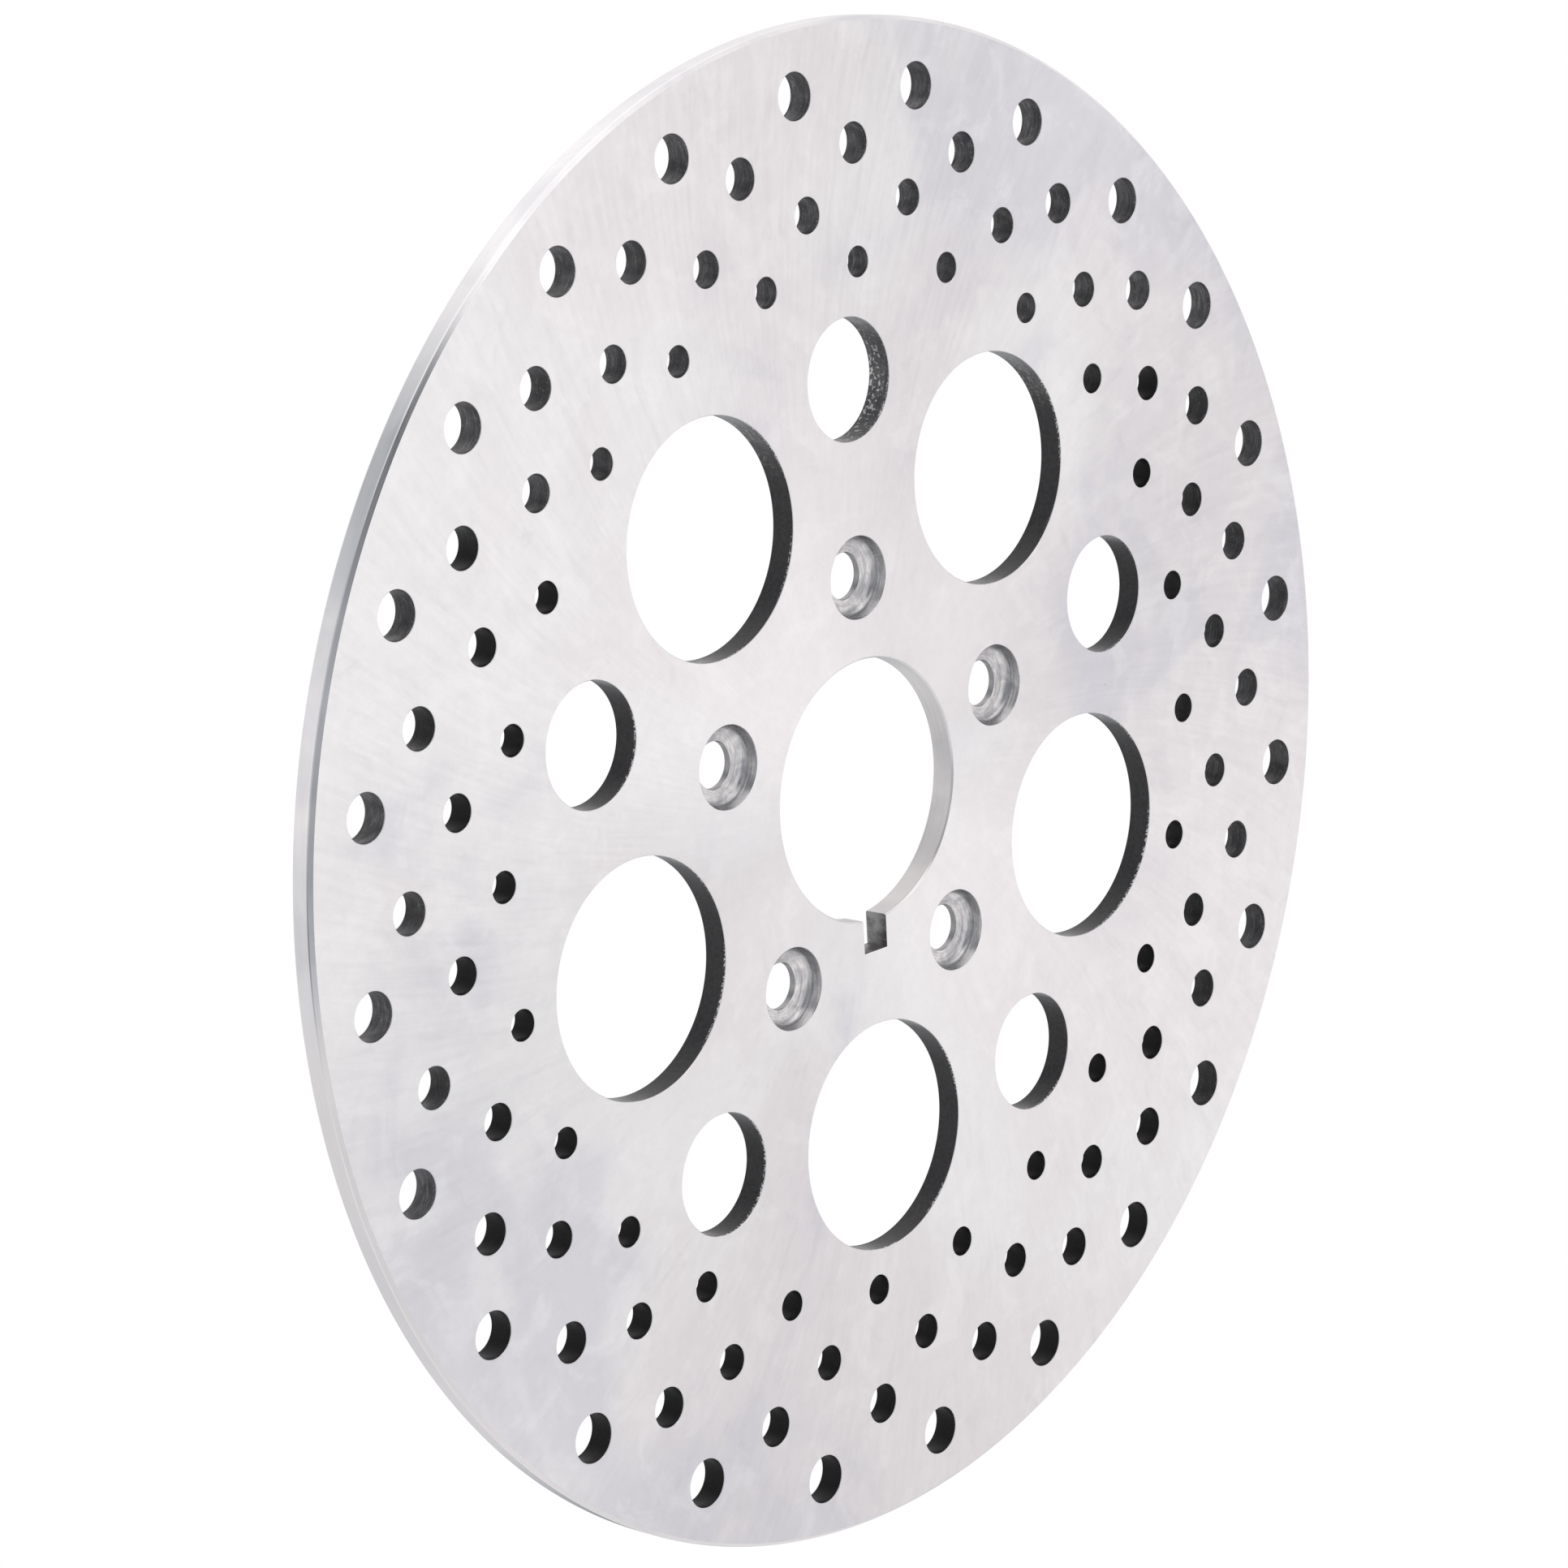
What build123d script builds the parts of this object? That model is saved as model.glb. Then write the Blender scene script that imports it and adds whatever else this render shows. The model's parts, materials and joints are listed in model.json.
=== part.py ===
"""Solid steel brake disc for a motorcycle wheel, drilled and lightened, made from one plate.

Millimetres. The disc stands upright with its axle along Y. The counterbored front face looks
towards -Y, the hub face towards +Y, +Z is up, and the origin is the centre of the plate.
"""

import os

from build123d import *

# Plate
outer_diameter = 292.1
thickness = 5.0
rim_chamfer = 0.75

# Centre bore and the keyway at the bottom of it
bore_diameter = 50.8
bore_chamfer = 0.3
keyway_width = 6.5
keyway_reach = 31.6  # from the axle to the keyway's flat bottom

# Bolt holes, one of them at the top: a counterbore, then a shallow conical seat
bolt_count = 5
bolt_circle = 82.55
bolt_hole_diameter = 9.0
counterbore_diameter = 15.9
counterbore_depth = 3.1
seat_depth = 0.6
top = 90  # degrees from +X towards +Z

# Lightening holes: large ones between the bolts, smaller ones in line with them
large_hole_diameter = 45.3
large_hole_circle = 137.6
small_hole_diameter = 23.5
small_hole_circle = 158.0

# Drilled holes, in four rings of two half rings each. The half rings start half a turn apart and
# differ a little in radius, which spreads the wear on the pads.
# Columns: hole diameter, radius of the half ring, angle of its first hole
holes_per_half_ring = 12
hole_pitch = 15
drilled_half_rings = [
    (5.9, 99.4, 147.8),
    (5.9, 100.7, 327.6),
    (6.9, 111.3, 94.9),
    (6.9, 112.5, 275.0),
    (7.8, 122.8, 193.0),
    (7.8, 122.8, 12.9),
    (9.0, 133.4, 49.9),
    (9.5, 134.4, 230.4),
]

front_face = Plane.XZ.offset(thickness / 2)
hub_face = Plane.XZ.offset(-thickness / 2)
between_bolts = top - 180 / bolt_count
half_ring_sweep = (holes_per_half_ring - 1) * hole_pitch

os.makedirs("parts", exist_ok=True)

with BuildPart() as brake_disc:
    with BuildSketch(hub_face):
        Circle(outer_diameter / 2)
        Circle(bore_diameter / 2, mode=Mode.SUBTRACT)
        with Locations((0, -keyway_reach)):
            Rectangle(keyway_width, keyway_reach, align=(Align.CENTER, Align.MIN), mode=Mode.SUBTRACT)
        with PolarLocations(large_hole_circle / 2, bolt_count, start_angle=between_bolts):
            Circle(large_hole_diameter / 2, mode=Mode.SUBTRACT)
        with PolarLocations(small_hole_circle / 2, bolt_count, start_angle=top):
            Circle(small_hole_diameter / 2, mode=Mode.SUBTRACT)
        for hole_diameter, radius, first_angle in drilled_half_rings:
            with PolarLocations(radius, holes_per_half_ring, first_angle, half_ring_sweep, endpoint=True):
                Circle(hole_diameter / 2, mode=Mode.SUBTRACT)
    extrude(amount=thickness)

    rim_edges = brake_disc.edges().filter_by(GeomType.CIRCLE).group_by(SortBy.RADIUS)[-1]
    chamfer(rim_edges, length=rim_chamfer)
    bore_edges = brake_disc.edges().filter_by(GeomType.CIRCLE).filter_by(
        lambda edge: abs(edge.radius - bore_diameter / 2) < bore_chamfer / 2)
    chamfer(bore_edges, length=bore_chamfer)

    with Locations(front_face):
        with PolarLocations(bolt_circle / 2, bolt_count, start_angle=top):
            CounterBoreHole(bolt_hole_diameter / 2, counterbore_diameter / 2, counterbore_depth)
    with Locations(front_face.offset(-counterbore_depth - seat_depth)):
        with PolarLocations(bolt_circle / 2, bolt_count, start_angle=top):
            Cone(bolt_hole_diameter / 2, counterbore_diameter / 2, seat_depth,
                 align=(Align.CENTER, Align.CENTER, Align.MIN), mode=Mode.SUBTRACT)

brake_disc.part.label = "brake_disc"
export_step(brake_disc.part, "parts/brake_disc.step")
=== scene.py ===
"""The looks of the brake disc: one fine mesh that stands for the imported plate, its ground, scaled and
machined surfaces, a white studio and the photograph's camera.

Metres, in the CAD frame: the axle is Y, the front face looks towards -Y and +Z is up.
"""

import json
import math

import bmesh
import bpy
import numpy as np
from mathutils import Matrix, Vector
from mathutils.geometry import delaunay_2d_cdt


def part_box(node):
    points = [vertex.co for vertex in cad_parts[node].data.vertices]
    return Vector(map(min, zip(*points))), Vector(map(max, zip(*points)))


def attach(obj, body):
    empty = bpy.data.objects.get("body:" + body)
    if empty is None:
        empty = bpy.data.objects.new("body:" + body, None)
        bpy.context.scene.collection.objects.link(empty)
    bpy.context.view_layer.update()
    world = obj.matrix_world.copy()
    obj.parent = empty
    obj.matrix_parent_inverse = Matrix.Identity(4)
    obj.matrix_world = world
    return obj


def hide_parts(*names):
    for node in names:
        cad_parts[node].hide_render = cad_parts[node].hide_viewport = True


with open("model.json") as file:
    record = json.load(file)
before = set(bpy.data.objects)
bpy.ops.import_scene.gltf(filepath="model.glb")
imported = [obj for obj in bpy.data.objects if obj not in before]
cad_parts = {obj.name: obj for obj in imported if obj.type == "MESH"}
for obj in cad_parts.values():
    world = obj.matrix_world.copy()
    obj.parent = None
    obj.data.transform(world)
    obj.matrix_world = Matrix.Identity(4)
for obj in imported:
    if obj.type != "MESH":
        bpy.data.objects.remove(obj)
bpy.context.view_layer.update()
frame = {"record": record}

MM = 0.001
NODE = "brake_disc"
mounts = {mount["name"]: mount for mount in frame["record"]["mounts"]}

# ---------------------------------------------------------------- sizes, as in the CAD
low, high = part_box(NODE)
FRONT, BACK = low.y, high.y
THICKNESS = BACK - FRONT
RIM_RADIUS = 146.05 * MM
RIM_CHAMFER = 0.75 * MM

BORE_RADIUS = mounts["centre_bore"]["dims"]["r_mm"] * MM
BORE_CHAMFER = (THICKNESS - mounts["centre_bore"]["dims"]["length_mm"] * MM) / 2
KEYWAY_HALF_WIDTH = 3.25 * MM
KEYWAY_REACH = 31.6 * MM

BOLT_COUNT = mounts["hub_bolts"]["dims"]["count"]
BOLT_CIRCLE_RADIUS = mounts["hub_bolts"]["dims"]["pcd_mm"] / 2 * MM
BOLT_HOLE_RADIUS = mounts["hub_bolts"]["dims"]["hole_r_mm"] * MM
COUNTERBORE_RADIUS = 7.95 * MM
COUNTERBORE_DEPTH = 3.1 * MM
SEAT_DEPTH = 0.6 * MM

LARGE_HOLE_RADIUS, LARGE_HOLE_CIRCLE_RADIUS = 22.65 * MM, 68.8 * MM
SMALL_HOLE_RADIUS, SMALL_HOLE_CIRCLE_RADIUS = 11.75 * MM, 79.0 * MM

# Drilled half rings, in millimetres and degrees: hole diameter, radius, angle of the first hole
HOLES_PER_HALF_RING = 12
HOLE_PITCH = 15
DRILLED_HALF_RINGS = [
    (5.9, 99.4, 147.8),
    (5.9, 100.7, 327.6),
    (6.9, 111.3, 94.9),
    (6.9, 112.5, 275.0),
    (7.8, 122.8, 193.0),
    (7.8, 122.8, 12.9),
    (9.0, 133.4, 49.9),
    (9.5, 134.4, 230.4),
]

# ---------------------------------------------------------------- sizes of the finer mesh
# Not in the CAD: the deburred edge of every hole, the facet where the rim meets its chamfers, and the
# tool's radius in the counterbores
EDGE_BREAK = 0.1 * MM
RIM_FACET = 0.15 * MM
TOOL_RADIUS = 2.0 * MM

# Straight pieces in each circle (the bore's stops at the keyway), in each side of the keyway and in the
# tool's radius
RIM_SEGMENTS = 720
BORE_SEGMENTS = 300
LARGE_HOLE_SEGMENTS = 216
SMALL_HOLE_SEGMENTS = 120
BOLT_HOLE_SEGMENTS = 96
DRILLED_HOLE_SEGMENTS = 48
KEYWAY_SEGMENTS = 4
CORNER_SEGMENTS = 8

SHARP_ANGLE = math.radians(20)  # an edge that turns by more than this isn't shaded smooth

# ---------------------------------------------------------------- the plate's mesh
GROUND, SCALED, BORED, BROACHED, COUNTERBORED, TURNED = range(6)


def on_circle(radius, angle):
    """A point (x, z) on a circle around the axle. The angle is in degrees, from +X towards +Z."""
    return radius * math.cos(math.radians(angle)), radius * math.sin(math.radians(angle))


def circle_loop(centre, radius, count):
    """A whole circle's outline, as points (x, z)."""
    turns = [2 * math.pi * i / count for i in range(count)]
    return [(centre[0] + radius * math.cos(t), centre[1] + radius * math.sin(t)) for t in turns]


def keyed_bore_loop(chamfer, edge_break):
    """The bore's outline with its keyway, grown by the chamfer on the arc and the edge break on the slot."""
    radius = BORE_RADIUS + chamfer
    half_width = KEYWAY_HALF_WIDTH + edge_break
    reach = KEYWAY_REACH + edge_break
    mouth = math.asin(half_width / radius)
    mouth_z = -radius * math.cos(mouth)
    start, sweep = -math.pi / 2 + mouth, 2 * math.pi - 2 * mouth
    arc = [start + sweep * i / BORE_SEGMENTS for i in range(BORE_SEGMENTS + 1)]
    steps = [i / KEYWAY_SEGMENTS for i in range(1, KEYWAY_SEGMENTS + 1)]
    points = [(radius * math.cos(t), radius * math.sin(t)) for t in arc]
    points += [(-half_width, mouth_z + (-reach - mouth_z) * s) for s in steps]
    points += [(-half_width + 2 * half_width * s, -reach) for s in steps]
    points += [(half_width, -reach + (mouth_z + reach) * s) for s in steps[:-1]]
    return points


class PlateMesh:
    """Collects the plate's vertices and faces: sleeves round the rim and holes, then the two flat faces."""

    def __init__(self):
        self.points, self.faces, self.slots = [], [], []
        self.front_loops, self.back_loops = [], []
        self.front_holes, self.back_holes = [], []  # centre x, centre z and radius, in the face

    def add_loop(self, outline, y):
        first = len(self.points)
        self.points += [(x, y, z) for x, z in outline]
        return list(range(first, len(self.points)))

    def sleeve(self, outlines, heights, slots):
        """A wall through the plate, from the front face to the back: one band between each two outlines.
        slots has one slot for the whole of each band, or a list of slots around it."""
        loops = [self.add_loop(outline, y) for outline, y in zip(outlines, heights)]
        for upper, lower, slot in zip(loops, loops[1:], slots):
            for i in range(len(upper)):
                j = (i + 1) % len(upper)
                self.faces.append((upper[i], upper[j], lower[j], lower[i]))
            self.slots += slot if isinstance(slot, list) else [slot] * len(upper)
        self.front_loops.append(loops[0])
        self.back_loops.append(loops[-1])

    def round_hole(self, centre, profile, slots, count):
        """profile is the hole's section: (radius, distance below the front face) at each step."""
        outlines = [circle_loop(centre, radius, count) for radius, _ in profile]
        self.sleeve(outlines, [FRONT + depth for _, depth in profile], slots)
        self.front_holes.append((*centre, profile[0][0]))
        self.back_holes.append((*centre, profile[-1][0]))

    def plain_hole(self, centre, radius, count):
        """A straight hole with both edges broken."""
        profile = [
            (radius + EDGE_BREAK, 0),
            (radius, EDGE_BREAK),
            (radius, THICKNESS - EDGE_BREAK),
            (radius + EDGE_BREAK, THICKNESS),
        ]
        self.round_hole(centre, profile, (GROUND, SCALED, GROUND), count)

    def flat_face(self, loops, holes):
        """Fills between the outlines with triangles, and leaves out those whose middle is in a hole."""
        indices = [i for loop in loops for i in loop]
        local = {index: k for k, index in enumerate(indices)}
        flat = [Vector((self.points[i][0], self.points[i][2])) / MM for i in indices]
        edges = [(local[a], local[b]) for loop in loops for a, b in zip(loop, loop[1:] + loop[:1])]
        fill_whole_hull, merge_distance = 0, 1e-6
        points, _, triangles, originals, _, _ = delaunay_2d_cdt(
            flat, edges, [], fill_whole_hull, merge_distance)
        assert len(points) == len(flat), "the outlines cross or touch"
        corners = np.array([[points[k][:] for k in triangle] for triangle in triangles]) * MM
        middle_x, middle_z = corners.mean(axis=1).T
        empty = (abs(middle_x) < KEYWAY_HALF_WIDTH + EDGE_BREAK) & (middle_z < 0)
        empty &= middle_z > -KEYWAY_REACH - EDGE_BREAK
        for x, z, radius in holes:
            empty |= np.hypot(middle_x - x, middle_z - z) < radius
        for triangle, is_empty in zip(triangles, empty):
            if not is_empty:
                self.faces.append(tuple(indices[originals[k][0]] for k in triangle))
                self.slots.append(GROUND)

    def build(self, name):
        mesh = bpy.data.meshes.new(name)
        mesh.from_pydata(self.points, [], self.faces)
        mesh.polygons.foreach_set("material_index", self.slots)
        work = bmesh.new()
        work.from_mesh(mesh)
        bmesh.ops.recalc_face_normals(work, faces=work.faces)
        assert all(edge.is_manifold for edge in work.edges), "the plate isn't closed"
        work.to_mesh(mesh)
        work.free()
        mesh.shade_smooth()
        mesh.set_sharp_from_angle(angle=SHARP_ANGLE)
        piece = bpy.data.objects.new(name, mesh)
        bpy.context.scene.collection.objects.link(piece)
        return piece


def bolt_hole_profile():
    """Counterbore with the tool's radius in its corner, then the conical seat and the through hole."""
    slope = math.atan2(SEAT_DEPTH, COUNTERBORE_RADIUS - BOLT_HOLE_RADIUS)
    turn = math.pi / 2 - slope
    setback = TOOL_RADIUS * math.tan(turn / 2)
    middle_radius, middle_depth = COUNTERBORE_RADIUS - TOOL_RADIUS, COUNTERBORE_DEPTH - setback
    turns = [turn * i / CORNER_SEGMENTS for i in range(CORNER_SEGMENTS + 1)]
    corner = [
        (middle_radius + TOOL_RADIUS * math.cos(t), middle_depth + TOOL_RADIUS * math.sin(t))
        for t in turns
    ]
    seat_end = COUNTERBORE_DEPTH + SEAT_DEPTH
    return [
        (COUNTERBORE_RADIUS + EDGE_BREAK, 0),
        (COUNTERBORE_RADIUS, EDGE_BREAK),
        *corner,
        (BOLT_HOLE_RADIUS + EDGE_BREAK * math.cos(slope), seat_end - EDGE_BREAK * math.sin(slope)),
        (BOLT_HOLE_RADIUS, seat_end + EDGE_BREAK),
        (BOLT_HOLE_RADIUS, THICKNESS - EDGE_BREAK / 2),
        (BOLT_HOLE_RADIUS + EDGE_BREAK / 2, THICKNESS),
    ]


def rim_profile():
    """The rim's section: a chamfer, a small facet, the wall, and the same again at the back."""
    half = RIM_FACET / math.sqrt(2)
    front = [
        (RIM_RADIUS - RIM_CHAMFER, 0),
        (RIM_RADIUS - half, RIM_CHAMFER - half),
        (RIM_RADIUS, RIM_CHAMFER + RIM_FACET),
    ]
    return front + [(radius, THICKNESS - depth) for radius, depth in reversed(front)]


def make_plate():
    plate = PlateMesh()

    rim_section = rim_profile()
    rim_outlines = [circle_loop((0, 0), radius, RIM_SEGMENTS) for radius, _ in rim_section]
    plate.sleeve(rim_outlines, [FRONT + depth for _, depth in rim_section], [TURNED] * (len(rim_section) - 1))

    bore_edge, bore_wall = keyed_bore_loop(BORE_CHAMFER, EDGE_BREAK), keyed_bore_loop(0, 0)
    bore_outlines = (bore_edge, bore_wall, bore_wall, bore_edge)
    bore_heights = (FRONT, FRONT + BORE_CHAMFER, BACK - BORE_CHAMFER, BACK)
    keyway = [BROACHED] * (len(bore_wall) - BORE_SEGMENTS)
    chamfer_slots = [TURNED] * BORE_SEGMENTS + keyway
    wall_slots = [BORED] * BORE_SEGMENTS + keyway
    plate.sleeve(bore_outlines, bore_heights, [chamfer_slots, wall_slots, chamfer_slots])
    bore = (0, 0, BORE_RADIUS + BORE_CHAMFER)

    bolt_profile = bolt_hole_profile()
    bolt_slots = [COUNTERBORED] * (len(bolt_profile) - 1)
    for k in range(BOLT_COUNT):
        at_bolt = 90 + 360 * k / BOLT_COUNT
        between_bolts = at_bolt - 180 / BOLT_COUNT
        centre = on_circle(BOLT_CIRCLE_RADIUS, at_bolt)
        plate.round_hole(centre, bolt_profile, bolt_slots, BOLT_HOLE_SEGMENTS)
        small_centre = on_circle(SMALL_HOLE_CIRCLE_RADIUS, at_bolt)
        plate.plain_hole(small_centre, SMALL_HOLE_RADIUS, SMALL_HOLE_SEGMENTS)
        large_centre = on_circle(LARGE_HOLE_CIRCLE_RADIUS, between_bolts)
        plate.plain_hole(large_centre, LARGE_HOLE_RADIUS, LARGE_HOLE_SEGMENTS)

    for diameter, ring, first in DRILLED_HALF_RINGS:
        for k in range(HOLES_PER_HALF_RING):
            centre = on_circle(ring * MM, first + HOLE_PITCH * k)
            plate.plain_hole(centre, diameter / 2 * MM, DRILLED_HOLE_SEGMENTS)

    plate.flat_face(plate.front_loops, plate.front_holes + [bore])
    plate.flat_face(plate.back_loops, plate.back_holes + [bore])
    return plate.build("brake_disc_plate")


disc = make_plate()
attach(disc, "root")
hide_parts(NODE)

# ---------------------------------------------------------------- nodes
GRINDING_WHEEL_RADIUS = 220 * MM


class Nodes:
    """A node tree, with short names for the few node kinds used here."""

    def __init__(self, tree):
        self.tree = tree

    def node(self, kind, inputs=None, **settings):
        made = self.tree.nodes.new(kind)
        for key, value in settings.items():
            setattr(made, key, value)
        for key, value in (inputs or {}).items():
            self.put(made.inputs[key], value)
        return made

    def put(self, socket, value):
        """Links another node's output to the socket, or sets a plain value. Colours are given as RGB."""
        if isinstance(value, bpy.types.NodeSocket):
            self.tree.links.new(value, socket)
        elif socket.type == "RGBA":
            socket.default_value = (*value, 1)
        else:
            socket.default_value = value

    def math(self, operation, *values):
        return self.node("ShaderNodeMath", dict(enumerate(values)), operation=operation).outputs[0]

    def times(self, first, *others):
        product = first
        for other in others:
            product = self.math("MULTIPLY", product, other)
        return product

    def vector(self, operation, *values):
        """A step with vectors. LENGTH and DOT_PRODUCT give a number, and SCALE takes its factor last."""
        inputs = {0: values[0], "Scale": values[1]} if operation == "SCALE" else dict(enumerate(values))
        outputs = self.node("ShaderNodeVectorMath", inputs, operation=operation).outputs
        return outputs["Value" if operation in ("LENGTH", "DOT_PRODUCT") else "Vector"]

    def stretch(self, value, low, high, to_low=0.0, to_high=1.0, smooth=True):
        """The range from low to high, stretched to the one from to_low to to_high, and flat beyond it."""
        return self.node("ShaderNodeMapRange", {
            "Value": value, "From Min": low, "From Max": high, "To Min": to_low, "To Max": to_high,
        }, interpolation_type="SMOOTHSTEP" if smooth else "LINEAR").outputs["Result"]

    def mix(self, factor, a, b):
        """Colour a where the factor is 0, and b where it is 1. The mix node's sockets have one name for all
        kinds of data, so those for colours are picked by number."""
        inputs = {0: factor, 6: a, 7: b}
        return self.node("ShaderNodeMix", inputs, data_type="RGBA").outputs[2]


class Shader(Nodes):
    """A material's nodes, and the patterns that its surface shows."""

    def __init__(self, name):
        self.material = bpy.data.materials.new(name)
        self.material.use_nodes = True
        super().__init__(self.material.node_tree)
        self.surface = self.tree.nodes["Principled BSDF"].inputs
        self.place = self.node("ShaderNodeTexCoord").outputs["Object"]
        self.x, self.y, self.z = self.node("ShaderNodeSeparateXYZ", {0: self.place}).outputs

    def from_middle(self):
        """The distance from the disc's middle."""
        return self.vector("LENGTH", self.place)

    def upwards(self):
        """1 where the surface faces straight up, and -1 where it faces straight down."""
        facing = self.node("ShaderNodeTexCoord").outputs["Normal"]
        return self.node("ShaderNodeSeparateXYZ", {0: facing}).outputs["Z"]

    def combine(self, x, y, z):
        return self.node("ShaderNodeCombineXYZ", {"X": x, "Y": y, "Z": z}).outputs[0]

    def noise(self, where, scale, detail=2.0, roughness=0.5, distortion=0.0):
        return self.node("ShaderNodeTexNoise", {
            "Vector": where,
            "Scale": scale,
            "Detail": detail,
            "Roughness": roughness,
            "Distortion": distortion,
        }).outputs["Fac"]

    def drawn_out(self, squeeze, scale):
        """Noise drawn out into lines along the axes where squeeze, which has X, Y and Z, is small."""
        where = self.node("ShaderNodeMapping", {"Vector": self.place, "Scale": squeeze}).outputs[0]
        return self.noise(where, scale, detail=3)

    def bump(self, height, distance, normal=None):
        made = self.node("ShaderNodeBump", {"Height": height, "Strength": 1.0, "Distance": distance})
        if normal is not None:
            self.put(made.inputs["Normal"], normal)
        return made.outputs["Normal"]

    def paint(self, under, over, pattern, between, amount=1.0, where=None):
        """The colour `over` on `under`: none of it where the pattern has the first value of `between`, and
        `amount` of it at the second. `where`, from 0 to 1, thins it out."""
        cover = self.stretch(pattern, *between, 0.0, amount)
        if where is not None:
            cover = self.times(cover, where)
        return self.mix(cover, under, over)

    def finish(self, colour, metallic, roughness, normal):
        self.put(self.surface["Base Color"], colour)
        self.put(self.surface["Metallic"], metallic)
        self.put(self.surface["Roughness"], roughness)
        self.put(self.surface["Normal"], normal)
        return self.material

    def swirl_angle(self, radius):
        """How far the grinder's arcs lean from the radial direction, in radians."""
        return self.times(radius, 1 / (2 * GRINDING_WHEEL_RADIUS))

    def around_and_along(self, flat, turns, along):
        """`along` plus a place on a circle, which flat's direction gives: `turns` steps for each radian."""
        around = self.vector("SCALE", self.vector("NORMALIZE", flat), turns)
        return self.vector("ADD", around, along)

    def along_grain(self, turns, per_metre, swirl=True):
        """Coordinates that stay the same along the grinder's arcs: `turns` sets how fine the grain is across
        them, in steps per radian, and `per_metre` how quickly it changes along them."""
        flat = self.vector("MULTIPLY", self.place, (1, 0, 1))
        radius = self.vector("LENGTH", flat)
        if swirl:
            turn = self.times(self.swirl_angle(radius), self.math("SIGN", self.y))
            turned = self.node("ShaderNodeVectorRotate", {"Vector": flat, "Axis": (0, 1, 0), "Angle": turn})
            flat = turned.outputs[0]
        along = self.combine(0.0, self.times(radius, per_metre), 0.0)
        return self.around_and_along(flat, turns, along)

    def round_bolts(self, turns, per_metre):
        """Coordinates that stay nearly the same round the nearest bolt hole: `turns` sets how quickly they
        change round it, in steps per radian, and `per_metre` how quickly with its radius and depth."""
        pitch = 2 * math.pi / BOLT_COUNT
        from_top = self.math("SUBTRACT", self.math("ARCTAN2", self.z, self.x), math.pi / 2)
        nearest = self.times(self.math("ROUND", self.math("DIVIDE", from_top, pitch)), pitch)
        nearest = self.math("ADD", nearest, math.pi / 2)
        bolt_x = self.times(self.math("COSINE", nearest), BOLT_CIRCLE_RADIUS)
        bolt_z = self.times(self.math("SINE", nearest), BOLT_CIRCLE_RADIUS)
        flat = self.combine(self.math("SUBTRACT", self.x, bolt_x), 0.0, self.math("SUBTRACT", self.z, bolt_z))
        radius_and_depth = self.math("SUBTRACT", self.vector("LENGTH", flat), self.y)
        along = self.combine(nearest, self.times(radius_and_depth, per_metre), 0.0)
        return self.around_and_along(flat, turns, along)


# ---------------------------------------------------------------- materials


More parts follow.
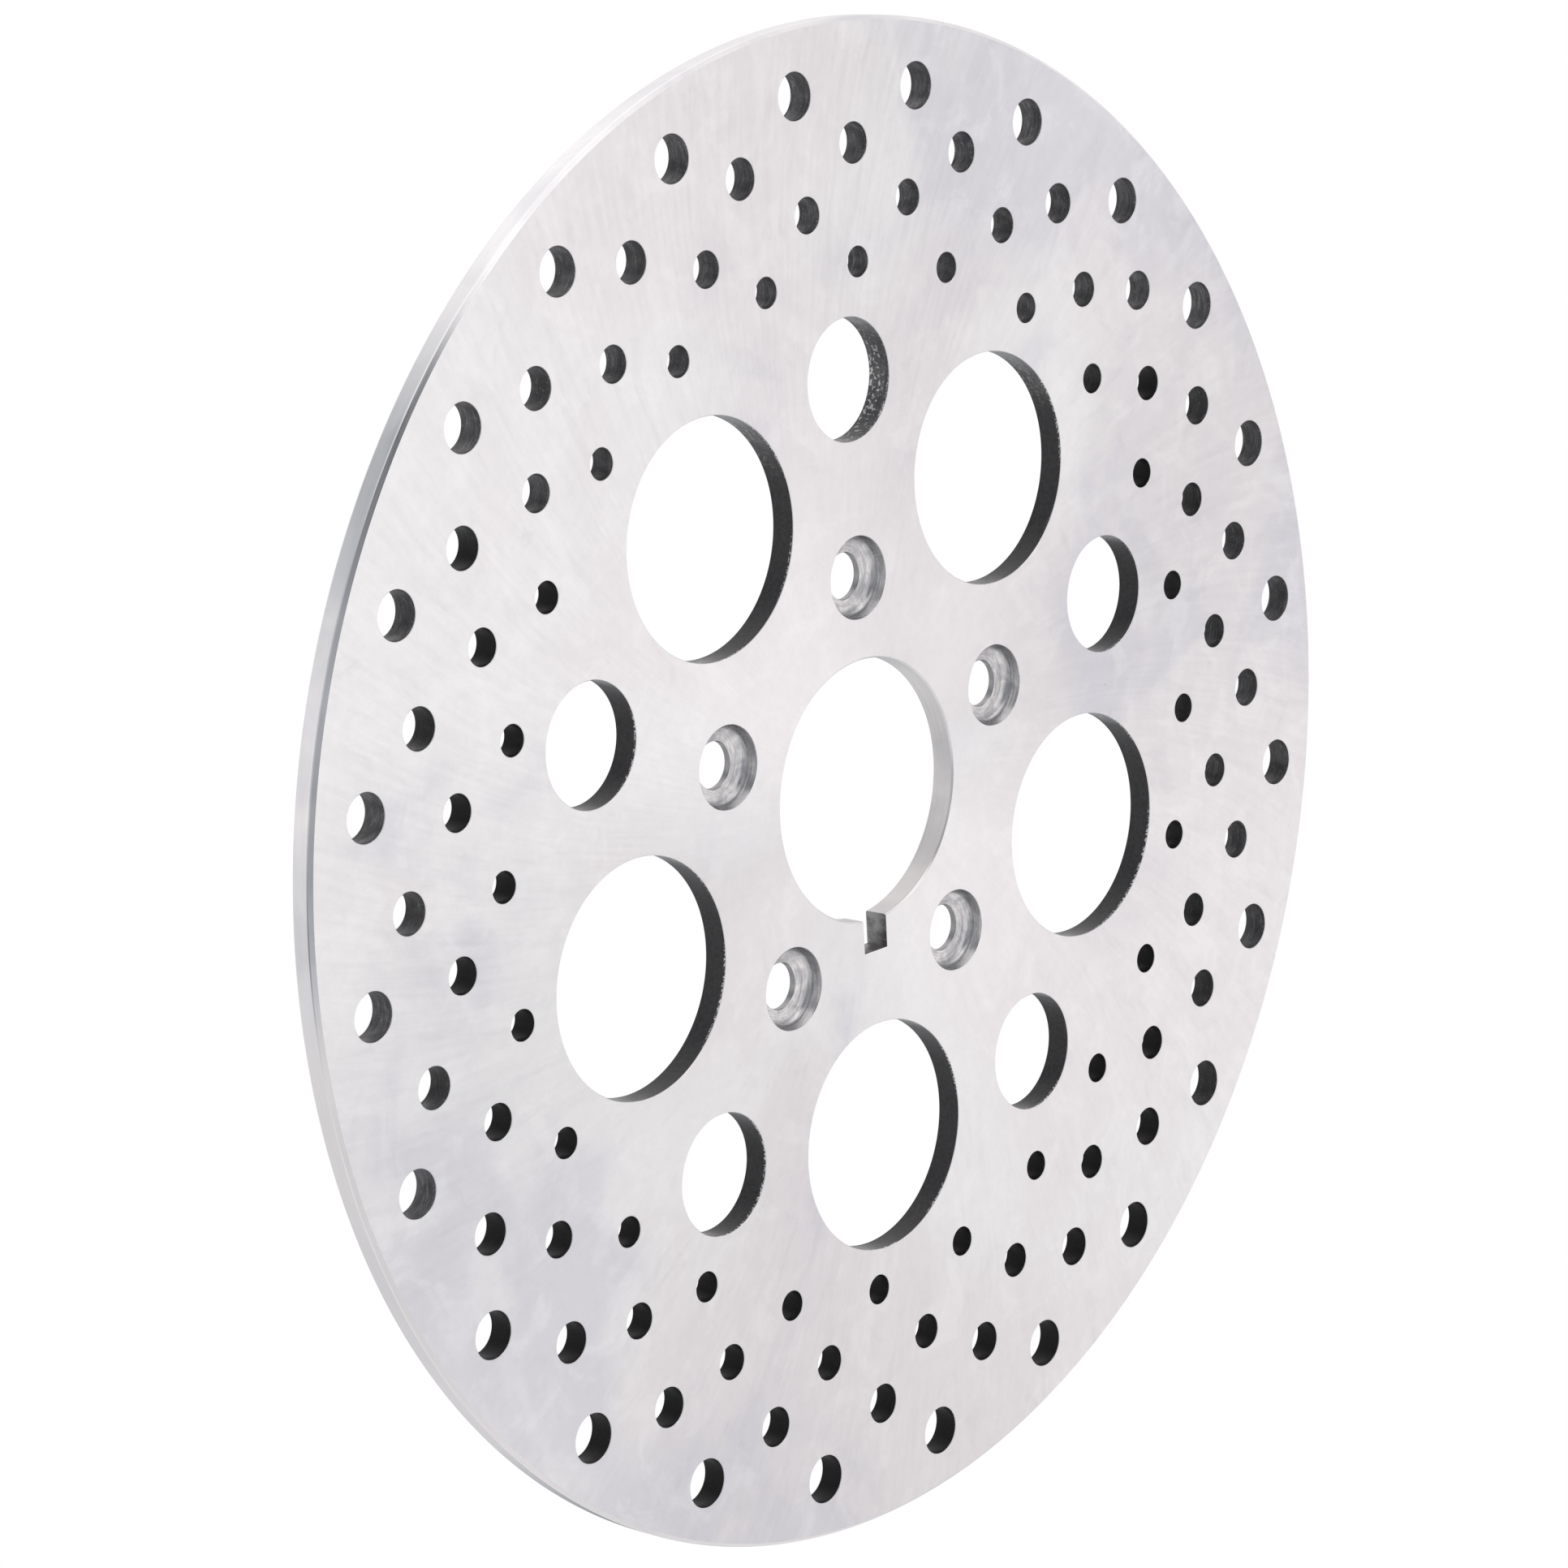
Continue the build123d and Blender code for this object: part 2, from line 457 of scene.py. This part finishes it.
def ground_steel():
    """Both faces and the broken edges: fine arcs from the surface grinder under faint stains and wisps."""
    warm, neutral_tint_and_light, bluish_tint_and_shade = (0.820, 0.797, 0.802), (0.850, 0.850, 0.846), (0.725, 0.724, 0.765)
    painted_light, milky = (0.91, 0.905, 0.905), (0.93, 0.93, 0.925)
    stain, wisp, shade, pit = (0.45, 0.45, 0.48), (0.56, 0.56, 0.58), (0.5, 0.5, 0.52), (0.25, 0.25, 0.26)

    s = Shader("ground_steel")
    grain = s.noise(s.along_grain(turns=420, per_metre=240), 1.0, detail=3, roughness=0.6)
    broad_grain = s.noise(s.along_grain(turns=110, per_metre=60), 1.0, detail=2)
    wisps = s.noise(s.along_grain(turns=26, per_metre=55), 1.0, detail=4, roughness=0.6, distortion=0.7)
    patches = s.noise(s.along_grain(turns=1.6, per_metre=14), 1.0, detail=2)
    clouds = s.noise(s.place, 22, detail=3, roughness=0.55, distortion=0.6)
    stains = s.noise(s.place, 70, detail=4, roughness=0.6, distortion=1.4)
    blooms = s.noise(s.place, 85, detail=5, roughness=0.62, distortion=0.9)
    mottle = s.noise(s.place, 420, detail=4, roughness=0.65)
    pits = s.noise(s.place, 450, detail=1)

    # Painted light and shade on the faces: the bluish, darker clouds gather in two opposite sectors, upper
    # right and lower left, as painted shade, and thin out towards the hub. The lighter neutral patches gather
    # at the left, as painted light.
    radius = s.from_middle()
    diagonal = s.times(s.x, s.z, 2 / RIM_RADIUS**2)
    painted_shade_sectors = s.math("MULTIPLY_ADD", diagonal, 0.20, s.stretch(radius, 35 * MM, 80 * MM, -0.12, 0.0))
    clouds = s.math("ADD", clouds, painted_shade_sectors)
    patches = s.math("ADD", patches, s.stretch(s.x, -110 * MM, -50 * MM, 0.15, -0.03))
    outwards = s.stretch(radius, 55 * MM, 105 * MM, 0.15, 1.0)

    # Neutral patches: a random tone, and painted light where they gather at the left
    colour = s.paint(warm, neutral_tint_and_light, patches, between=(0.40, 0.62))
    # Painted light: the faces lighter towards the hub
    colour = s.paint(colour, painted_light, radius, between=(66 * MM, 32 * MM), amount=0.3)
    # Bluish clouds: a random tint, and painted shade where they gather in the two sectors
    colour = s.paint(colour, bluish_tint_and_shade, clouds, between=(0.50, 0.70), amount=0.80)
    colour = s.paint(colour, stain, stains, between=(0.60, 0.80), amount=0.18)
    colour = s.paint(colour, milky, blooms, between=(0.47, 0.66), amount=0.34)
    colour = s.paint(colour, wisp, wisps, between=(0.52, 0.72), amount=0.13, where=outwards)
    colour = s.paint(colour, shade, mottle, between=(0.35, 0.70), amount=0.07)
    grained = s.stretch(grain, 0.25, 0.75, 0.0, 0.07, smooth=False)
    colour = s.mix(s.times(grained, outwards), colour, shade)
    colour = s.paint(colour, pit, pits, between=(0.83, 0.86), amount=0.6)

    grain_roughness = s.stretch(broad_grain, 0.3, 0.7, 0.39, 0.43)
    roughness = s.math("ADD", grain_roughness, s.stretch(clouds, 0.3, 0.7, 0.0, 0.04))
    s.put(s.surface["Anisotropic"], 0.85)
    s.put(s.surface["Tangent"], s.node("ShaderNodeTangent", direction_type="RADIAL", axis="Y").outputs[0])
    s.put(s.surface["Anisotropic Rotation"], s.times(s.swirl_angle(radius), -1 / (2 * math.pi)))
    normal = s.bump(grain, 0.0025 * MM, s.bump(broad_grain, 0.0025 * MM))
    return s.finish(colour, 1.0, roughness, normal)


def scaled_steel():
    """The walls of the drilled and cut holes: dark scale, with painted shade in the narrow drilled holes and
    painted light in the upper and outermost holes, where the walls show the drill's rings, lighter streaks
    and burrs. The cut holes have a painted sheen where their walls face down."""
    thick_scale, dusty_scale = (0.032, 0.032, 0.033), (0.042, 0.042, 0.044)
    painted_lit_scale, smeared_scale = (0.150, 0.150, 0.153), (0.085, 0.085, 0.087)
    painted_shade_black, ring = (0.002, 0.002, 0.002), (0.045, 0.044, 0.048)
    streak, painted_sheen = (0.30, 0.30, 0.305), (0.42, 0.42, 0.425)
    speck, chip, burr = (0.60, 0.60, 0.61), (0.62, 0.62, 0.62), (0.80, 0.80, 0.80)

    s = Shader("scaled_steel")
    scale = s.noise(s.place, 1300, detail=2, roughness=0.5)
    rings = s.drawn_out((0.12, 1, 0.12), 2800)
    smears = s.noise(s.place, 260, detail=3, roughness=0.6, distortion=0.5)
    specks = s.noise(s.place, 2300, detail=2, roughness=0.7)
    batches = s.noise(s.place, 45, detail=1)

    # Painted light: lighter walls in the holes at the top, and in the outermost ones at the right and left
    above = s.stretch(s.z, 62 * MM, 75 * MM)
    to_right = s.stretch(s.x, 92 * MM, 122 * MM, 0.0, 0.75)
    to_left = s.stretch(s.x, -121 * MM, -110 * MM, 1.0, 0.0)
    painted_light_holes = s.math("MAXIMUM", above, s.math("MAXIMUM", to_right, to_left))
    painted_light_holes = s.times(painted_light_holes, s.stretch(batches, 0.35, 0.60, 0.80, 1.0))

    # The drilled holes lie outside the cut ones
    most = 0.75
    drilled = s.stretch(s.from_middle(), 91 * MM, 96 * MM, 0.0, most)
    cut = s.math("SUBTRACT", most, drilled)

    thick = s.paint(thick_scale, dusty_scale, scale, between=(0.35, 0.65))
    # Painted shade: the narrow drilled holes made darker
    thick = s.mix(drilled, thick, painted_shade_black)
    # A lighter copy of the walls, as painted light, with the drill's rings
    painted_lit_walls = s.paint(painted_lit_scale, smeared_scale, smears, between=(0.35, 0.65))
    painted_lit_walls = s.mix(s.stretch(rings, 0.38, 0.66, 0.10, 0.62), painted_lit_walls, ring)
    colour = s.mix(painted_light_holes, thick, painted_lit_walls)
    streaked = s.math("ADD", painted_light_holes, 0.06)
    colour = s.paint(colour, streak, rings, between=(0.38, 0.28), amount=0.45, where=streaked)

    # Light marks: specks near the front face, burrs along its edge, chips further in on the walls that
    # don't face down, and a painted sheen in bands on those that do
    near_face = s.stretch(s.y, FRONT, FRONT + 0.8 * MM, 1.0, 0.25)
    speckled = s.times(s.math("MULTIPLY_ADD", painted_light_holes, 0.8, 0.10), near_face)
    colour = s.paint(colour, speck, specks, between=(0.62, 0.70), where=speckled)
    at_edge = s.times(s.stretch(s.y, FRONT + 0.2 * MM, FRONT + 0.7 * MM, 1.3, 0.0), cut)
    burred = s.times(s.stretch(batches, 0.46, 0.56), at_edge)
    colour = s.paint(colour, burr, specks, between=(0.52, 0.57), where=burred)
    upwards = s.upwards()
    further_in = s.stretch(s.y, FRONT + 0.9 * MM, FRONT + 2.4 * MM, 0.12, 1.0)
    chipped = s.times(above, cut, further_in, s.stretch(upwards, -0.70, 0.10, 0.25, 1.0))
    colour = s.paint(colour, chip, scale, between=(0.55, 0.62), where=chipped)
    # Painted sheen at the tops of the cut holes, where the walls face down, in bands along the drill's rings
    painted_sheen_mask = s.times(cut, s.stretch(rings, 0.60, 0.40, 0.5, 1.0))
    colour = s.paint(colour, painted_sheen, upwards, between=(-0.76, -0.93), where=painted_sheen_mask)

    roughness = s.math("MULTIPLY_ADD", drilled, 0.18, s.stretch(smears, 0.3, 0.7, 0.18, 0.30))
    s.put(s.surface["Specular IOR Level"], 0.12)
    normal = s.bump(scale, 0.012 * MM, s.bump(rings, 0.010 * MM))
    return s.finish(colour, s.times(painted_light_holes, 0.45), roughness, normal)


def bored_steel():
    """The centre bore: a smooth cut with faint lines round it from the boring tool, with painted light at the
    top and painted shade at the bottom.
    """
    clear, clouded = (0.70, 0.685, 0.675), (0.63, 0.622, 0.620)
    painted_light, painted_shade, line = (0.95, 0.93, 0.91), (0.44, 0.43, 0.43), (0.42, 0.42, 0.43)

    s = Shader("bored_steel")
    lines = s.drawn_out((0.02, 1, 0.02), 3500)
    clouds = s.noise(s.place, 120, detail=3, distortion=0.5)
    colour = s.paint(clear, clouded, clouds, between=(0.35, 0.70))
    # Painted light towards the top of the bore, and painted shade towards its bottom
    colour = s.paint(colour, painted_light, s.z, between=(8 * MM, 22 * MM), amount=0.6)
    colour = s.paint(colour, painted_shade, s.z, between=(-10 * MM, -20 * MM), amount=0.4)
    colour = s.paint(colour, line, lines, between=(0.40, 0.75), amount=0.25)
    roughness = s.stretch(clouds, 0.3, 0.7, 0.42, 0.50)
    return s.finish(colour, 1.0, roughness, s.bump(lines, 0.005 * MM))


def broached_steel():
    """The keyway's walls: darker, with the broach's scores along the axle."""
    clean, smeared, score = (0.30, 0.295, 0.29), (0.15, 0.15, 0.152), (0.42, 0.42, 0.42)

    s = Shader("broached_steel")
    scores = s.drawn_out((1, 0.08, 1), 2400)
    smears = s.noise(s.place, 500, detail=3, roughness=0.6)
    colour = s.paint(clean, smeared, smears, between=(0.35, 0.70))
    colour = s.paint(colour, score, scores, between=(0.50, 0.75), amount=0.5)
    roughness = s.stretch(scores, 0.3, 0.7, 0.35, 0.50)
    return s.finish(colour, 0.9, roughness, s.bump(scores, 0.012 * MM))


def counterbored_steel():
    """Counterbores and bolt seats: the cutter's rings and smears, painted shade on the wall at its top and
    sides and a painted highlight on it below, and a darker through hole."""
    clean, smeared = (0.70, 0.69, 0.685), (0.46, 0.46, 0.47)
    ring, fine_ring = (0.30, 0.30, 0.31), (0.80, 0.80, 0.80)
    painted_shade, painted_light, dark = (0.30, 0.30, 0.31), (0.95, 0.95, 0.95), (0.26, 0.26, 0.265)

    s = Shader("counterbored_steel")
    rings = s.noise(s.round_bolts(turns=1.6, per_metre=2600), 1.0, detail=3, roughness=0.55)
    fine_rings = s.noise(s.round_bolts(turns=5, per_metre=9000), 1.0, detail=2)
    smears = s.noise(s.place, 330, detail=3, roughness=0.6, distortion=0.8)
    colour = s.paint(clean, smeared, smears, between=(0.32, 0.66))
    colour = s.paint(colour, ring, rings, between=(0.42, 0.66), amount=0.36)
    colour = s.paint(colour, fine_ring, fine_rings, between=(0.55, 0.75), amount=0.25)

    upwards = s.upwards()
    wall_end, fade = FRONT + COUNTERBORE_DEPTH - 0.9 * MM, 0.8 * MM
    wall = s.stretch(s.y, wall_end - fade, wall_end + fade, 1.0, 0.0)
    # Painted shade where the wall faces sideways or down, and a painted highlight where it faces up
    colour = s.paint(colour, painted_shade, upwards, between=(0.72, 0.50), amount=0.30, where=wall)
    colour = s.paint(colour, painted_light, upwards, between=(0.64, 0.78), amount=0.8, where=wall)
    through = FRONT + COUNTERBORE_DEPTH + SEAT_DEPTH
    colour = s.paint(colour, dark, s.y, between=(through - 0.05 * MM, through + 0.15 * MM), amount=0.85)

    roughness = s.stretch(rings, 0.3, 0.7, 0.20, 0.34)
    normal = s.bump(fine_rings, 0.004 * MM, s.bump(rings, 0.014 * MM))
    return s.finish(colour, 1.0, roughness, normal)


def turned_steel():
    """The rim and its chamfers: lines round the disc from the lathe, and a warm tint below the axle as
    painted reflection. The bore's chamfers have the same finish, a little rougher."""
    clear, clouded = (0.82, 0.815, 0.815), (0.70, 0.70, 0.715)
    warm_painted_reflection, line = (0.845, 0.815, 0.802), (0.5, 0.5, 0.52)

    s = Shader("turned_steel")
    lines = s.noise(s.along_grain(turns=3, per_metre=9000, swirl=False), 1.0, detail=3)
    wall_lines = s.drawn_out((0.02, 1, 0.02), 5000)
    clouds = s.noise(s.place, 60, detail=3, distortion=0.5)
    colour = s.paint(clear, clouded, clouds, between=(0.35, 0.70))
    # Painted reflection: a warm tint below the axle
    colour = s.paint(colour, warm_painted_reflection, s.z, between=(5 * MM, -25 * MM), amount=0.8)
    colour = s.paint(colour, line, wall_lines, between=(0.40, 0.70), amount=0.08)
    at_bore = s.stretch(s.from_middle(), 50 * MM, 60 * MM, 0.10, 0.0)
    roughness = s.math("ADD", s.stretch(wall_lines, 0.3, 0.7, 0.16, 0.24), at_bore)
    normal = s.bump(lines, 0.002 * MM, s.bump(wall_lines, 0.003 * MM))
    return s.finish(colour, 1.0, roughness, normal)


makers = {
    GROUND: ground_steel,
    SCALED: scaled_steel,
    BORED: bored_steel,
    BROACHED: broached_steel,
    COUNTERBORED: counterbored_steel,
    TURNED: turned_steel,
}
for slot in sorted(makers):
    disc.data.materials.append(makers[slot]())

# ---------------------------------------------------------------- studio
CAMERA_AZIMUTH = 221.65  # degrees, as are the next two
CAMERA_ELEVATION = 13.48
CAMERA_ROLL = 2.97
CAMERA_DISTANCE = 0.914
CAMERA_LENS = 112.4  # in millimetres, as Blender has it, and so is the sensor
CAMERA_SENSOR = 36
AIM = Vector((-24.1 * MM, FRONT, 6.4 * MM))

FLOOR_SIZE = 8
WHITE = (1, 1, 1)

# What the steel reflects: a white tent, and in it soft lights (above 0) and grey flags (below 0). Its
# darkest places are bluish and its brightest ones a little pink.
# Most of the lights weren't placed by hand. Two least-squares programs, run on brightness read from the
# photograph, gave 23 of the 30 rows; the strengths of many were then adjusted.
TENT = 0.94
DARKEST = 0.1
BLUISH, FULLY_BLUISH_AT = (0.915, 0.945, 1.0), 0.6
PINKISH, FULLY_PINKISH_AT = (1.0, 0.975, 0.985), 1.0
SOFT_LIGHTS = [  # azimuth, elevation, how narrow, how bright
    (80, 75, 3, 0.50),
    (270, 55, 20, 0.35),
    (300, -15, 3, 0.24),
    (340, -15, 20, 0.36),
    (200, 30, 3, -0.45),
    (220, -30, 20, -0.48),
    (240, 30, 20, -0.40),
    (183, -13, 60, -0.70),
    (124, 38, 60, -0.60),
    (112, 47, 60, -0.33),
    (132, 27, 60, -0.16),
    (139, 5, 30, 0.14),
    (138, -13, 30, -0.12),
    (128, -34, 30, -0.10),
    (100, -49, 20, -0.17),
    (50, -32, 20, -0.36),
    (45, -24, 30, -0.30),
    (99, 50, 30, -0.12),
    (246, 41, 80, -0.58),
    (229, -3, 60, -0.37),
    (252, 46, 120, -0.42),
    (236, 20, 80, 0.12),
    (230, -27, 60, 0.58),
    (234, -42, 40, 0.13),
    (244, -57, 30, -0.16),
    (258, 50, 80, 0.28),
    (185, 22, 60, 0.13),
    (333, -69, 20, -0.12),
    (320, 30, 20, -0.52),
    (340, -30, 20, -0.66),
]


def direction(azimuth, elevation):
    """A unit vector, from degrees: azimuth from +X towards +Y, elevation up from the floor."""
    a, e = math.radians(azimuth), math.radians(elevation)
    return Vector((math.cos(a) * math.cos(e), math.sin(a) * math.cos(e), math.sin(e)))


def light_world():
    """The room around the disc: plain white seen straight on, the tent's lights and flags in reflections."""
    world = bpy.data.worlds.new("studio")
    bpy.context.scene.world = world
    world.use_nodes = True
    n = Nodes(world.node_tree)

    looking = n.node("ShaderNodeTexCoord").outputs["Generated"]
    brightness = TENT
    for azimuth, elevation, narrowness, gain in SOFT_LIGHTS:
        towards_light = n.vector("DOT_PRODUCT", looking, direction(azimuth, elevation))
        lobe = n.math("POWER", n.math("MAXIMUM", towards_light, 0.0), narrowness)
        brightness = n.math("MULTIPLY_ADD", lobe, gain, brightness)
    brightness = n.math("MAXIMUM", brightness, DARKEST)
    warmth = n.stretch(brightness, FULLY_BLUISH_AT, FULLY_PINKISH_AT, smooth=False)

    tent = n.tree.nodes["Background"]
    n.put(tent.inputs["Color"], n.mix(warmth, BLUISH, PINKISH))
    n.put(tent.inputs["Strength"], brightness)
    plain = n.node("ShaderNodeBackground", {"Color": WHITE})
    seen = n.node("ShaderNodeLightPath").outputs["Is Camera Ray"]
    choose = n.node("ShaderNodeMixShader", {0: seen, 1: tent.outputs[0], 2: plain.outputs[0]})
    n.put(n.tree.nodes["World Output"].inputs["Surface"], choose.outputs[0])


def glowing(name, colour):
    """A material that glows evenly, so that no shadow falls on it."""
    material = bpy.data.materials.new(name)
    material.use_nodes = True
    n = Nodes(material.node_tree)
    n.tree.nodes.clear()
    emission = n.node("ShaderNodeEmission", {"Color": colour})
    n.node("ShaderNodeOutputMaterial", {"Surface": emission.outputs[0]})
    return material


def make_floor():
    """A plain white floor under the disc, which the steel doesn't reflect: the tent is there for that."""
    half = FLOOR_SIZE / 2
    mesh = bpy.data.meshes.new("floor")
    corners = [(-half, -half, low.z), (half, -half, low.z), (half, half, low.z), (-half, half, low.z)]
    mesh.from_pydata(corners, [], [(0, 1, 2, 3)])
    mesh.materials.append(glowing("floor_white", WHITE))
    piece = bpy.data.objects.new("floor", mesh)
    bpy.context.scene.collection.objects.link(piece)
    piece.visible_glossy = False


def place_camera():
    back = direction(CAMERA_AZIMUTH, CAMERA_ELEVATION)
    roll = Matrix.Rotation(math.radians(-CAMERA_ROLL), 4, "Z")
    turned = (-back).to_track_quat("-Z", "Y").to_matrix().to_4x4() @ roll
    camera = bpy.data.objects.new("camera", bpy.data.cameras.new("camera"))
    bpy.context.scene.collection.objects.link(camera)
    camera.data.lens = CAMERA_LENS
    camera.data.sensor_width = CAMERA_SENSOR
    camera.data.clip_start, camera.data.clip_end = 0.05, 50
    camera.matrix_world = Matrix.Translation(AIM + back * CAMERA_DISTANCE) @ turned
    bpy.context.scene.camera = camera


light_world()
make_floor()
place_camera()
bpy.context.scene.view_settings.view_transform = "Standard"
